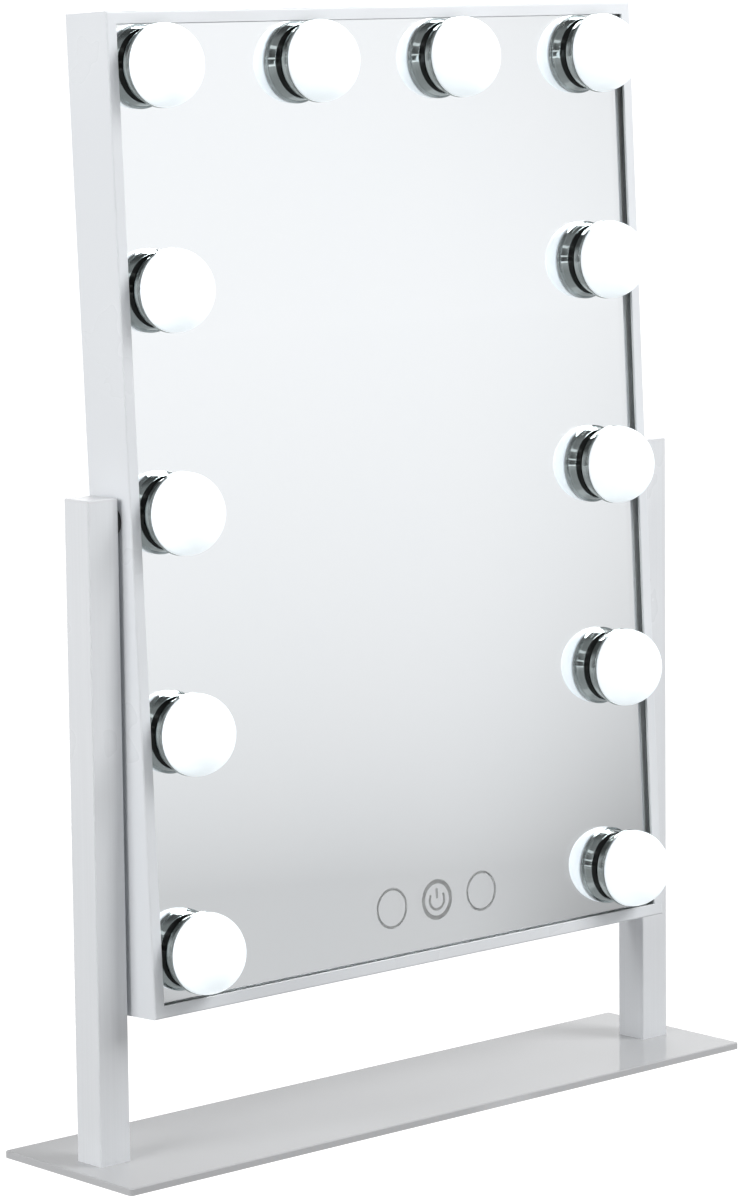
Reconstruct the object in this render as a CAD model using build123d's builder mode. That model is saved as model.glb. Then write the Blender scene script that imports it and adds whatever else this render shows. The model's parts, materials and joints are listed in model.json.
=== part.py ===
from build123d import *
import math
import os

# Table-top vanity mirror with twelve bulbs, in millimetres.
# Origin: centre of the face that rests on the table. +X runs along the mirror's width, to the right
# as a user sees it, the mirror faces -Y, and +Z is up. The head is modelled where it rests,
# leaning back a little on its two side pivots.

# Base
base_width = 360.0
base_depth = 85.0
base_thickness = 3.0
base_edge = 0.4
base_corner = 1.5
sheet_thickness = 1.0
sheet_inset = 3.0
sheet_corner = 3.0
base_top = sheet_thickness + base_thickness

# Posts
post_size = 15.8
post_wall = 1.2
post_corner = 0.7
post_height = 279.0
post_top = base_top + post_height
cap_thickness = 1.0
cap_edge = 0.3
cap_plug_depth = 3.5
insert_gap = 0.1
cut_extra = 0.5
foot_height = 16.0

# Countersunk screws that hold the posts to the base
foot_screw_pitch = 7.2
foot_screw_radius = 1.75
foot_screw_length = 14.0
foot_screw_head_radius = 3.35
foot_screw_head = 1.5
foot_screw_hole = 1.9
foot_screw_sink = 3.45
foot_screw_pilot = 1.8
foot_slot_length = 3.6
foot_slot_width = 0.8
foot_slot_depth = 0.7

# Mirror head
head_width = 300.0
head_height = 415.0
head_depth = 26.5
head_lean = 2.75
side_gap = 2.2
frame_wall = 1.2
frame_edge = 0.8
lip_width = 5.3
lip_thickness = 1.0
lip_edge = 0.3
gasket_thickness = 0.5
gasket_setback = 0.3
glass_thickness = 3.0
board_thickness = 2.0
stack_gap = 1.0
panel_thickness = 1.5
panel_recess = 1.6
panel_gap = 0.3
block_leg = 34.0
block_width = 8.0

# Cross-head screws that hold the back panel
panel_screw_run = 24.0
panel_screw_radius = 1.25
panel_screw_length = 9.0
panel_screw_head_radius = 2.6
panel_screw_head = 1.3
panel_screw_hole = 1.6
panel_screw_pilot = 1.3
cross_length = 3.4
cross_width = 0.6
cross_depth = 0.8

# Pivots
pivot_drop = 10.2
pivot_height = post_top - pivot_drop
bolt_radius = 2.5
bolt_clearance = 0.05
bolt_head_width = 8.0
bolt_head_height = 3.5
bolt_tip = 0.6
pivot_nut_height = 4.0
washer_radius = 5.5
washer_thickness = 0.8
bush_flange_radius = 7.0
bush_sleeve_radius = 4.5
sleeve_gap = 0.02
hub_thickness = 10.0
hub_length = 40.0
face_gap = 0.1

# Bulbs: their places on the head, the chrome cup's profile from its foot to its rim, the globe,
# the threaded stem with its nut, and the LED board in the cup
bulb_side_reach = 125.8
bulb_top_reach = 40.8
bulb_row_top = 185.1
bulb_row_bottom = -182.3
bulb_rows = 5
cup_foot_radius = 15.7
cup_neck_radius = 16.5
cup_neck_low = 4.0
cup_neck_high = 4.4
cup_rim_radius = 17.4
cup_rim_low = 4.7
cup_rim_low_edge = 0.4
cup_rim_high_edge = 0.5
cup_height = 6.0
cup_seat_radius = 16.25
cup_slope_radius = 15.0
cup_slope_high = 2.4
cup_floor_radius = 14.4
cup_floor = 2.0
globe_radius = 17.3
globe_straight = 1.5
globe_height = 17.0
globe_wall = 1.5
globe_edge = 0.4
skirt_outer = 16.1
skirt_inner = 14.9
skirt_low = 4.9
stem_radius = 4.0
stem_bore_radius = 2.6
stem_length = 13.5
stem_clearance = 0.3
lock_nut_width = 12.0
lock_nut_height = 3.5
thread_gap = 0.03
led_board_radius = 14.0
led_board_thickness = 1.2
led_board_hole = 1.5
led_circle = 8.5
led_count = 6
led_width = 2.8
led_length = 3.5
led_height = 0.8

# Touch sensor behind the glass, with its centre a little to the right of the middle
touch_centre = 13.2
touch_row = -181.0
touch_pitch = 26.6
touch_pad_radius = 8.0
sensor_side_edge = 3.0
sensor_end_edge = 4.0
sensor_window_gap = 0.5
sensor_thickness = 1.2
sensor_part_height = 0.9
sensor_chip = ((0, 6), (5, 4))
sensor_drivers = ((-12, -3), (12, -3))
sensor_driver_width = 3.0
sensor_driver_height = 1.6

# LED driver board on the back panel's standoffs
driver_row = -132.0
driver_width = 70.0
driver_height = 40.0
driver_thickness = 1.6
driver_hole_radius = 1.1
driver_part_height = 1.8
driver_chips = (((0, 2), (10, 8)), ((-16, -2), (9, 9)))
driver_coils = ((14, 6), (14, -6))
driver_coil_radius = 3.2
driver_screw_side = 31.0
driver_screw_rise = 16.0
driver_screw_radius = 0.95
driver_screw_length = 4.2
driver_screw_head_radius = 2.2
driver_screw_head = 1.2
standoff_height = 3.0
standoff_radius = 3.0
standoff_pilot = 1.0

# Power socket low on the back, and the lead from it to the driver
jack_row = -188.0
jack_radius = 5.5
jack_flange_radius = 7.0
jack_flange = 1.2
jack_bore_radius = 2.85
jack_depth = 9.0
jack_end = 2.0
jack_pin_radius = 1.0
jack_nut_width = 14.0
jack_nut_height = 2.5
jack_lead_radius = 1.4
jack_lead_bend = 4.5
jack_lead_level = 4.5
jack_lead_inset = 14.0

# Wiring loop, the wires from it to the bulbs, and the sensor's ribbon
wire_level = -4.5
wire_loop_reach = 111.8
wire_loop_top = 171.0
wire_loop_bottom = -168.0
wire_loop_corner = 20.0
wire_loop_radius = 1.6
wire_start_side = 36.0
wire_start_rise = 22.0
wire_start_turn = 62.0
bulb_wire_radius = 1.0
bulb_wire_bend = 5.0
ribbon_width = 7.0
ribbon_thickness = 0.5
ribbon_bend = 3.0
ribbon_level = 1.0
ribbon_low = touch_row + 7.0
ribbon_high = driver_row - 16.0

os.makedirs("parts", exist_ok=True)

# The head's own plane: x along the width, y up the glass, z out of the glass, from the pivot axis
lean = math.radians(head_lean)
HEAD = Plane(
    origin=(0, 0, pivot_height),
    x_dir=(1, 0, 0),
    z_dir=(0, -math.cos(lean), math.sin(lean)),
)

# Levels through the head, measured out of the glass from the pivot axis
head_front = head_depth / 2
head_back = -head_depth / 2
lip_back = head_front - lip_thickness
glass_front = lip_back - gasket_thickness
glass_back = glass_front - glass_thickness
board_back = glass_back - board_thickness
panel_outer = head_back + panel_recess
panel_inner = panel_outer + panel_thickness
half_width = head_width / 2
half_height = head_height / 2
inside_width = head_width - 2 * frame_wall
inside_height = head_height - 2 * frame_wall
block_depth = board_back - panel_inner

# Levels along X from the head's centre out to the posts
post_inner = half_width + side_gap
post_centre = post_inner + post_size / 2
wall_inside = post_inner + post_wall
hub_outer = half_width - frame_wall
hub_inner = hub_outer - hub_thickness
nut_start = wall_inside + face_gap + washer_thickness
bolt_end = nut_start + pivot_nut_height + bolt_tip

row_pitch = (bulb_row_top - bulb_row_bottom) / (bulb_rows - 1)
side_rows = [bulb_row_top - row_pitch * i for i in range(bulb_rows)]
bulb_places = [(-bulb_side_reach, row) for row in side_rows]
bulb_places += [(-bulb_top_reach, bulb_row_top), (bulb_top_reach, bulb_row_top)]
bulb_places += [(bulb_side_reach, row) for row in side_rows]

STANDING = (Align.CENTER, Align.CENTER, Align.MIN)
corner_signs = [(-1, -1), (-1, 1), (1, -1), (1, 1)]
panel_screw_inset = block_width / 2 + frame_wall
panel_screws = []
for sx, sy in corner_signs:
    corner_x = sx * (half_width - panel_screw_inset)
    corner_y = sy * (half_height - panel_screw_inset)
    panel_screws.append((corner_x - sx * panel_screw_run, corner_y))
    panel_screws.append((corner_x, corner_y - sy * panel_screw_run))


def on_head(u, v, level):
    """Plane parallel to the glass at a place on the head."""
    return Plane(origin=HEAD.from_local_coords((u, v, level)), x_dir=HEAD.x_dir, z_dir=HEAD.z_dir)


def turning_plane(u, v, level):
    """Plane that holds a line out of the glass: x is the radius, y runs out of the glass."""
    return Plane(origin=HEAD.from_local_coords((u, v, level)), x_dir=HEAD.x_dir, z_dir=-HEAD.y_dir)


def out_axis(u, v):
    return Axis(HEAD.from_local_coords((u, v, 0)), HEAD.z_dir)


def side_plane(x, side):
    """Plane square to the pivot axis, facing away from the head's centre on one side."""
    return Plane(origin=(side * x, 0, pivot_height), x_dir=(0, side, 0), z_dir=(side, 0, 0))


def save(part, label):
    part.label = label
    export_step(part, "parts/" + label + ".step")


# ---- base ----

with BuildPart() as base_plate:
    with BuildSketch(Plane.XY.offset(sheet_thickness)):
        RectangleRounded(base_width, base_depth, base_corner)
    extrude(amount=base_thickness)
    chamfer(base_plate.faces().sort_by(Axis.Z)[-1].edges(), base_edge)
    for side in (-1, 1):
        for shift in (-foot_screw_pitch / 2, foot_screw_pitch / 2):
            with Locations((side * post_centre, shift, sheet_thickness)):
                Cylinder(foot_screw_hole, 4 * base_thickness, mode=Mode.SUBTRACT)
                Cone(foot_screw_sink, foot_screw_hole, foot_screw_head, align=STANDING, mode=Mode.SUBTRACT)
save(base_plate.part, "base_plate")

with BuildPart() as base_sheet:
    with BuildSketch(Plane.XY):
        RectangleRounded(base_width - 2 * sheet_inset, base_depth - 2 * sheet_inset, sheet_corner)
    extrude(amount=sheet_thickness)
save(base_sheet.part, "base_foam_sheet")

with BuildPart() as base_screws:
    for side in (-1, 1):
        for shift in (-foot_screw_pitch / 2, foot_screw_pitch / 2):
            with Locations((side * post_centre, shift, sheet_thickness)):
                Cone(foot_screw_head_radius, foot_screw_radius, foot_screw_head, align=STANDING)
                Cylinder(foot_screw_radius, foot_screw_length, align=STANDING)
                Box(foot_slot_length, foot_slot_width, foot_slot_depth, align=STANDING, mode=Mode.SUBTRACT)
save(base_screws.part, "base_screws")

# ---- posts ----


def make_post(side, word):
    x = side * post_centre
    tube_height = post_height - cap_thickness
    inner_size = post_size - 2 * post_wall
    with BuildPart() as post:
        with BuildSketch(Plane((x, 0, base_top))):
            RectangleRounded(post_size, post_size, post_corner)
            Rectangle(inner_size, inner_size, mode=Mode.SUBTRACT)
        extrude(amount=tube_height)
        with BuildSketch(side_plane(post_inner, side)):
            Circle(bush_sleeve_radius + sleeve_gap)
        extrude(amount=post_wall + cut_extra, mode=Mode.SUBTRACT)
    save(post.part, "post_" + word)

    with BuildPart() as cap:
        with BuildSketch(Plane((x, 0, post_top - cap_thickness))):
            RectangleRounded(post_size, post_size, post_corner)
        extrude(amount=cap_thickness)
        chamfer(cap.faces().sort_by(Axis.Z)[-1].edges(), cap_edge)
        with BuildSketch(Plane((x, 0, post_top - cap_thickness))):
            Rectangle(inner_size - insert_gap, inner_size - insert_gap)
        extrude(amount=-cap_plug_depth)
    save(cap.part, "post_cap_" + word)

with BuildPart() as foot_blocks:
    with BuildSketch(Plane.XY.offset(base_top)):
        with GridLocations(2 * post_centre, 0, 2, 1):
            Rectangle(post_size - 2 * post_wall - insert_gap, post_size - 2 * post_wall - insert_gap)
        with GridLocations(2 * post_centre, foot_screw_pitch, 2, 2):
            Circle(foot_screw_pilot, mode=Mode.SUBTRACT)
    extrude(amount=foot_height)
save(foot_blocks.part, "post_foot_blocks")

# ---- pivots ----


def make_pivot(side, word):
    """Hub, bolt and bush of one side, outwards from the head."""
    hole_radius = bolt_radius + bolt_clearance
    hub_plane = Plane(HEAD.origin + Vector(side * hub_outer, 0, 0), x_dir=HEAD.y_dir, z_dir=(-side, 0, 0))
    with BuildPart() as hub:
        with BuildSketch(hub_plane):
            Rectangle(hub_length, 2 * (board_back - face_gap))
        extrude(amount=hub_thickness)
        with BuildSketch(hub_plane):
            Circle(hole_radius)
        extrude(amount=hub_thickness, mode=Mode.SUBTRACT)
        with BuildSketch(side_plane(hub_inner, side)):
            RegularPolygon(bolt_head_width / 2 + face_gap, 6, major_radius=False)
        extrude(amount=bolt_head_height + face_gap, mode=Mode.SUBTRACT)
    save(hub.part, "pivot_hub_" + word)

    with BuildPart() as bolt:
        with BuildSketch(side_plane(hub_inner, side)):
            RegularPolygon(bolt_head_width / 2, 6, major_radius=False)
        extrude(amount=bolt_head_height)
        with BuildSketch(side_plane(hub_inner, side)):
            Circle(bolt_radius)
        extrude(amount=bolt_end - hub_inner)
    save(bolt.part, "pivot_bolt_" + word)

    with BuildPart() as bush:
        with BuildSketch(side_plane(half_width + face_gap, side)):
            Circle(bush_flange_radius)
            Circle(hole_radius, mode=Mode.SUBTRACT)
        extrude(amount=side_gap - face_gap)
        with BuildSketch(side_plane(post_inner, side)):
            Circle(bush_sleeve_radius)
            Circle(hole_radius, mode=Mode.SUBTRACT)
        extrude(amount=post_wall)
    save(bush.part, "pivot_bush_" + word)


for side, word in ((-1, "left"), (1, "right")):
    make_post(side, word)
    make_pivot(side, word)

with BuildPart() as spring_washers:
    for side in (-1, 1):
        with BuildSketch(side_plane(wall_inside + face_gap, side)):
            Circle(washer_radius)
            Circle(bolt_radius + bolt_clearance, mode=Mode.SUBTRACT)
        extrude(amount=washer_thickness)
save(spring_washers.part, "pivot_spring_washers")

with BuildPart() as pivot_nuts:
    for side in (-1, 1):
        with BuildSketch(side_plane(nut_start, side)):
            RegularPolygon(bolt_head_width / 2, 6, major_radius=False)
            Circle(bolt_radius + bolt_clearance, mode=Mode.SUBTRACT)
        extrude(amount=pivot_nut_height)
save(pivot_nuts.part, "pivot_nuts")

# ---- head frame ----


def make_frame_member(out_dir, reach, length, label, pivot_side=0):
    """Mitred channel length: outer wall and front lip, carried along one edge of the head."""
    run_dir = HEAD.z_dir.cross(out_dir)
    profile_plane = Plane(HEAD.origin + out_dir * reach, x_dir=out_dir * -1, z_dir=run_dir)
    with BuildPart() as member:
        with BuildSketch(profile_plane) as profile:
            with BuildLine():
                Polyline(
                    (0, head_back),
                    (0, head_front),
                    (lip_width, head_front),
                    (lip_width, lip_back),
                    (frame_wall, lip_back),
                    (frame_wall, head_back),
                    close=True,
                )
            make_face()
            outer_corner = profile.vertices().sort_by_distance((0, head_front))[0]
            fillet(outer_corner, frame_edge)
            lip_corner = profile.vertices().sort_by_distance((lip_width, head_front))[0]
            fillet(lip_corner, lip_edge)
        extrude(amount=length / 2, both=True)
        for end in (-1, 1):
            corner = profile_plane.origin + run_dir * (end * length / 2)
            split(bisect_by=Plane(corner, z_dir=run_dir * end - out_dir), keep=Keep.BOTTOM)
        if pivot_side:
            with BuildSketch(side_plane(hub_outer - cut_extra, pivot_side)):
                Circle(bolt_radius + bolt_clearance)
            extrude(amount=frame_wall + 2 * cut_extra, mode=Mode.SUBTRACT)
    save(member.part, label)


make_frame_member(HEAD.y_dir, half_height, head_width, "frame_top")
make_frame_member(HEAD.y_dir * -1, half_height, head_width, "frame_bottom")
make_frame_member(HEAD.x_dir * -1, half_width, head_height, "frame_left", -1)
make_frame_member(HEAD.x_dir, half_width, head_height, "frame_right", 1)

# ---- glass and what holds it ----

stack_width = inside_width - 2 * stack_gap
stack_height = inside_height - 2 * stack_gap

with BuildPart() as gasket:
    with BuildSketch(HEAD.offset(glass_front)):
        Rectangle(stack_width, stack_height)
        Rectangle(
            head_width - 2 * (lip_width - gasket_setback),
            head_height - 2 * (lip_width - gasket_setback),
            mode=Mode.SUBTRACT,
        )
    extrude(amount=gasket_thickness)
save(gasket.part, "glass_gasket")

with BuildPart() as glass:
    with BuildSketch(HEAD.offset(glass_back)):
        Rectangle(stack_width, stack_height)
        with Locations(*bulb_places):
            Circle(stem_radius + stem_clearance, mode=Mode.SUBTRACT)
    extrude(amount=glass_thickness)
save(glass.part, "mirror_glass")

sensor_width = 2 * (touch_pitch + touch_pad_radius + sensor_side_edge)
sensor_height = 2 * (touch_pad_radius + sensor_end_edge)

with BuildPart() as backing:
    with BuildSketch(HEAD.offset(board_back)):
        Rectangle(stack_width, stack_height)
        with Locations(*bulb_places):
            Circle(stem_radius + stem_clearance, mode=Mode.SUBTRACT)
        with Locations((touch_centre, touch_row)):
            Rectangle(
                sensor_width + 2 * sensor_window_gap,
                sensor_height + 2 * sensor_window_gap,
                mode=Mode.SUBTRACT,
            )
    extrude(amount=board_thickness)
save(backing.part, "backing_board")

with BuildPart() as corner_blocks:
    for sx, sy in corner_signs:
        with BuildSketch(HEAD.offset(panel_inner)):
            with BuildLine():
                edge_x = sx * inside_width / 2
                edge_y = sy * inside_height / 2
                Polyline(
                    (edge_x, edge_y),
                    (edge_x, edge_y - sy * block_leg),
                    (edge_x - sx * block_width, edge_y - sy * block_leg),
                    (edge_x - sx * block_width, edge_y - sy * block_width),
                    (edge_x - sx * block_leg, edge_y - sy * block_width),
                    (edge_x - sx * block_leg, edge_y),
                    close=True,
                )
            make_face()
        extrude(amount=block_depth)
    with BuildSketch(HEAD.offset(panel_inner)):
        with Locations(*panel_screws):
            Circle(panel_screw_pilot)
    extrude(amount=panel_screw_length, mode=Mode.SUBTRACT)
save(corner_blocks.part, "corner_blocks")

driver_screws = [(sx * driver_screw_side, driver_row + sy * driver_screw_rise) for sx, sy in corner_signs]
driver_level = panel_inner + standoff_height

with BuildPart() as back_panel:
    with BuildSketch(HEAD.offset(panel_outer)):
        Rectangle(inside_width - 2 * panel_gap, inside_height - 2 * panel_gap)
        with Locations((0, jack_row)):
            Circle(jack_radius + insert_gap, mode=Mode.SUBTRACT)
        with Locations(*panel_screws):
            Circle(panel_screw_hole, mode=Mode.SUBTRACT)
    extrude(amount=panel_thickness)
    with BuildSketch(HEAD.offset(panel_inner)):
        with Locations(*driver_screws):
            Circle(standoff_radius)
            Circle(standoff_pilot, mode=Mode.SUBTRACT)
    extrude(amount=standoff_height)
save(back_panel.part, "back_panel")

with BuildPart() as back_screws:
    with BuildSketch(HEAD.offset(panel_outer)):
        with Locations(*panel_screws):
            Circle(panel_screw_head_radius)
    extrude(amount=-panel_screw_head)
    with BuildSketch(HEAD.offset(panel_outer - panel_screw_head)):
        with Locations(*panel_screws):
            Rectangle(cross_width, cross_length)
            Rectangle(cross_length, cross_width)
    extrude(amount=cross_depth, mode=Mode.SUBTRACT)
    with BuildSketch(HEAD.offset(panel_outer)):
        with Locations(*panel_screws):
            Circle(panel_screw_radius)
    extrude(amount=panel_screw_length)
save(back_screws.part, "back_panel_screws")

# ---- bulbs ----


def quarter_ellipse(base, radius, height):
    """Exact quarter of an ellipse, from its equator up to the axis."""
    Bezier(
        (radius, base),
        (radius, base + height),
        (0, base + height),
        weights=(1, math.sqrt(0.5), 1),
    )


def make_bulb(u, v, number):
    stem_end = -stem_length
    with BuildPart() as cup:
        with BuildSketch(turning_plane(u, v, glass_front)) as profile:
            with BuildLine():
                Polyline(
                    (stem_bore_radius, stem_end),
                    (stem_radius, stem_end),
                    (stem_radius, 0),
                    (cup_foot_radius, 0),
                    (cup_neck_radius, cup_neck_low),
                    (cup_neck_radius, cup_neck_high),
                    (cup_rim_radius, cup_rim_low),
                    (cup_rim_radius, cup_height),
                    (cup_seat_radius, cup_height),
                    (cup_seat_radius, cup_rim_low),
                    (cup_slope_radius, cup_slope_high),
                    (cup_floor_radius, cup_floor),
                    (stem_bore_radius, cup_floor),
                    close=True,
                )
            make_face()
            rim_low = profile.vertices().sort_by_distance((cup_rim_radius, cup_rim_low))[0]
            fillet(rim_low, cup_rim_low_edge)
            rim_high = profile.vertices().sort_by_distance((cup_rim_radius, cup_height))[0]
            fillet(rim_high, cup_rim_high_edge)
        revolve(axis=out_axis(u, v))
    save(cup.part, f"bulb_cup_{number:02d}")

    shoulder = cup_height + globe_straight
    cap_height = globe_height - globe_straight
    with BuildPart() as globe:
        with BuildSketch(turning_plane(u, v, glass_front)):
            with BuildLine():
                quarter_ellipse(shoulder, globe_radius, cap_height)
                Polyline(
                    (globe_radius, shoulder),
                    (globe_radius, cup_height + globe_edge),
                    (globe_radius - globe_edge, cup_height),
                    (skirt_outer, cup_height),
                    (skirt_outer, skirt_low),
                    (skirt_inner, skirt_low),
                    (skirt_inner, cup_height),
                    (globe_radius - globe_wall, shoulder),
                )
                quarter_ellipse(shoulder, globe_radius - globe_wall, cap_height - globe_wall)
                Line((0, shoulder + cap_height - globe_wall), (0, shoulder + cap_height))
            make_face()
        revolve(axis=out_axis(u, v))
    save(globe.part, f"bulb_globe_{number:02d}")


for number, (u, v) in enumerate(bulb_places, start=1):
    make_bulb(u, v, number)

with BuildPart() as led_boards:
    for u, v in bulb_places:
        with BuildSketch(on_head(u, v, glass_front + cup_floor)):
            Circle(led_board_radius)
            Circle(led_board_hole, mode=Mode.SUBTRACT)
        extrude(amount=led_board_thickness)
        with BuildSketch(on_head(u, v, glass_front + cup_floor + led_board_thickness)):
            with PolarLocations(led_circle, led_count):
                Rectangle(led_width, led_length)
        extrude(amount=led_height)
save(led_boards.part, "led_boards")

with BuildPart() as lock_nuts:
    for u, v in bulb_places:
        with BuildSketch(on_head(u, v, board_back)):
            RegularPolygon(lock_nut_width / 2, 6, major_radius=False)
            Circle(stem_radius + thread_gap, mode=Mode.SUBTRACT)
        extrude(amount=-lock_nut_height)
save(lock_nuts.part, "bulb_lock_nuts")

# ---- electrics ----

with BuildPart() as touch_board:
    with BuildSketch(on_head(touch_centre, touch_row, glass_back)):
        Rectangle(sensor_width, sensor_height)
    extrude(amount=-sensor_thickness)
    with BuildSketch(on_head(touch_centre, touch_row, glass_back - sensor_thickness)):
        chip_place, chip_size = sensor_chip
        with Locations(chip_place):
            Rectangle(*chip_size)
        with Locations(*sensor_drivers):
            Rectangle(sensor_driver_width, sensor_driver_height)
    extrude(amount=-sensor_part_height)
save(touch_board.part, "touch_sensor_board")

driver_top = driver_level + driver_thickness

with BuildPart() as driver_board:
    with BuildSketch(on_head(0, driver_row, driver_level)):
        Rectangle(driver_width, driver_height)
        with GridLocations(2 * driver_screw_side, 2 * driver_screw_rise, 2, 2):
            Circle(driver_hole_radius, mode=Mode.SUBTRACT)
    extrude(amount=driver_thickness)
    with BuildSketch(on_head(0, driver_row, driver_top)):
        for chip_place, chip_size in driver_chips:
            with Locations(chip_place):
                Rectangle(*chip_size)
        with Locations(*driver_coils):
            Circle(driver_coil_radius)
    extrude(amount=driver_part_height)
save(driver_board.part, "driver_board")

with BuildPart() as driver_board_screws:
    for u, v in driver_screws:
        with BuildSketch(on_head(u, v, driver_top)):
            Circle(driver_screw_head_radius)
        extrude(amount=driver_screw_head)
        with BuildSketch(on_head(u, v, driver_top)):
            Circle(driver_screw_radius)
        extrude(amount=-driver_screw_length)
save(driver_board_screws.part, "driver_board_screws")

jack_face = on_head(0, jack_row, panel_outer)

with BuildPart() as dc_jack:
    with BuildSketch(jack_face):
        Circle(jack_flange_radius)
        Circle(jack_bore_radius, mode=Mode.SUBTRACT)
    extrude(amount=-jack_flange)
    with BuildSketch(jack_face):
        Circle(jack_radius)
        Circle(jack_bore_radius, mode=Mode.SUBTRACT)
    extrude(amount=jack_depth)
    with BuildSketch(jack_face.offset(jack_depth)):
        Circle(jack_radius)
    extrude(amount=jack_end)
    with BuildSketch(jack_face):
        Circle(jack_pin_radius)
    extrude(amount=jack_depth)
save(dc_jack.part, "dc_jack")

with BuildPart() as dc_jack_nut:
    with BuildSketch(on_head(0, jack_row, panel_inner)):
        RegularPolygon(jack_nut_width / 2, 6, major_radius=False)
        Circle(jack_radius + thread_gap, mode=Mode.SUBTRACT)
    extrude(amount=jack_nut_height)
save(dc_jack_nut.part, "dc_jack_nut")


def wire(points, radii, radius):
    """Round wire along straight runs joined by tangent arcs, given on the head's plane."""
    with BuildPart() as strand:
        with BuildLine() as route:
            FilletPolyline(*[HEAD.from_local_coords(point) for point in points], radius=radii)
        with BuildSketch(Plane(origin=route.line @ 0, z_dir=route.line % 0)):
            Circle(radius)
        sweep(path=route.line)
    return strand.part


# The harness rings the head behind the bulbs, and one pair of wires leaves it for each LED board.
loop_points = [
    (-wire_start_side, wire_loop_bottom + wire_start_rise, wire_level),
    (-wire_start_turn, wire_loop_bottom, wire_level),
    (-wire_loop_reach, wire_loop_bottom, wire_level),
    (-wire_loop_reach, wire_loop_top, wire_level),
    (wire_loop_reach, wire_loop_top, wire_level),
    (wire_loop_reach, wire_loop_bottom, wire_level),
    (wire_start_turn, wire_loop_bottom, wire_level),
    (wire_start_side, wire_loop_bottom + wire_start_rise, wire_level),
]
corner_shift = wire_loop_corner * (1 - math.sqrt(0.5))


def loop_point(u, v):
    """Where a bulb's wires meet the harness."""
    side = math.copysign(1, u)
    if abs(u) < wire_loop_reach:
        return (u, wire_loop_top)
    if v > wire_loop_top:
        return (side * (wire_loop_reach - corner_shift), wire_loop_top - corner_shift)
    if v < wire_loop_bottom:
        return (side * (wire_loop_reach - corner_shift), wire_loop_bottom + corner_shift)
    return (side * wire_loop_reach, v)


with BuildPart() as harness:
    add(wire(loop_points, [wire_loop_corner] * (len(loop_points) - 2), wire_loop_radius))
    for u, v in bulb_places:
        end_u, end_v = loop_point(u, v)
        bulb_route = [
            (u, v, glass_front + cup_floor - face_gap),
            (u, v, wire_level),
            (end_u, end_v, wire_level),
        ]
        add(wire(bulb_route, [bulb_wire_bend], bulb_wire_radius))
save(harness.part, "wiring_harness")

jack_lead_end = driver_row - jack_lead_inset
jack_lead_route = [
    (0, jack_row, panel_outer + jack_depth + jack_end),
    (0, jack_row, jack_lead_level),
    (0, jack_lead_end, jack_lead_level),
    (0, jack_lead_end, driver_top),
]
with BuildPart() as jack_lead:
    add(wire(jack_lead_route, [jack_lead_bend] * 2, jack_lead_radius))
save(jack_lead.part, "dc_jack_lead")

# The ribbon runs flat against the boards, from the touch sensor to the driver.
ribbon_origin = HEAD.from_local_coords((touch_centre, 0, 0))
ribbon_plane = Plane(ribbon_origin, x_dir=HEAD.y_dir, z_dir=HEAD.x_dir)
with BuildPart() as ribbon:
    with BuildSketch(ribbon_plane):
        with BuildLine() as ribbon_route:
            FilletPolyline(
                (ribbon_low, glass_back - sensor_thickness - sensor_part_height),
                (ribbon_low, ribbon_level),
                (ribbon_high, ribbon_level),
                (ribbon_high, driver_top),
                radius=ribbon_bend,
            )
        trace(ribbon_route.line, line_width=ribbon_thickness)
    extrude(amount=ribbon_width / 2, both=True)
save(ribbon.part, "sensor_ribbon")
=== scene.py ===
import json
import math

import bmesh
import bpy
import numpy as np
from mathutils import Matrix, Vector


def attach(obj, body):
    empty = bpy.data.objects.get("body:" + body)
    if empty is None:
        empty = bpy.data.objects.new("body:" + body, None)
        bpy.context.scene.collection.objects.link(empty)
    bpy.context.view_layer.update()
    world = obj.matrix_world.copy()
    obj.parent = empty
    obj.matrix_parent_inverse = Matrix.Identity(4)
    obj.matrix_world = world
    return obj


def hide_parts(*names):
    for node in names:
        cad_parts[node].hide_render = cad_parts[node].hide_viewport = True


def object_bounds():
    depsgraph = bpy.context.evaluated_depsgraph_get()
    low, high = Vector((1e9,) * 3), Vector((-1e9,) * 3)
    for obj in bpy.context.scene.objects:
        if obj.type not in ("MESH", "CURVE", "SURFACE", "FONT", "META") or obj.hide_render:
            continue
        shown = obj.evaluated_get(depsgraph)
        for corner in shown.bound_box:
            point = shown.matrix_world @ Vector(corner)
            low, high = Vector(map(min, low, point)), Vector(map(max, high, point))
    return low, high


# Looks for a table-top vanity mirror with twelve lit bulbs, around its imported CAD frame.
# Everything is in metres in the CAD frame; sizes given in millimetres go through mm.

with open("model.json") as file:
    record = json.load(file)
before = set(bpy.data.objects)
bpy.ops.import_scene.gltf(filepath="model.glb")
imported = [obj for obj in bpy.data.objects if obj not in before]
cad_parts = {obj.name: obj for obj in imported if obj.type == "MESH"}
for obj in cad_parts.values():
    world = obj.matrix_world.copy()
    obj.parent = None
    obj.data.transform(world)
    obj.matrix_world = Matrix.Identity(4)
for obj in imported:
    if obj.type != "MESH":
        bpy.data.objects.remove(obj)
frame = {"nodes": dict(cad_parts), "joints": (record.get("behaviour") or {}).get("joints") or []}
cadBox = [list(corner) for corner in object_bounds()]
nodes = frame["nodes"]
mm = 0.001
forwardLimit = -0.9  # a face whose normal has less than this along Y looks forward
print("frame loaded with", len(nodes), "nodes")


def cornersOf(obj):
    # every corner of a mesh as one array, a row each
    places = np.zeros(len(obj.data.vertices) * 3)
    obj.data.vertices.foreach_get("co", places)
    return places.reshape(-1, 3)


def forwardNormal(obj):
    # direction of the largest face that looks forward, towards -Y
    count = len(obj.data.polygons)
    normals, areas = np.zeros(count * 3), np.zeros(count)
    obj.data.polygons.foreach_get("normal", normals)
    obj.data.polygons.foreach_get("area", areas)
    normals = normals.reshape(-1, 3)
    return normals[(areas * (normals[:, 1] < forwardLimit)).argmax()]


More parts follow.
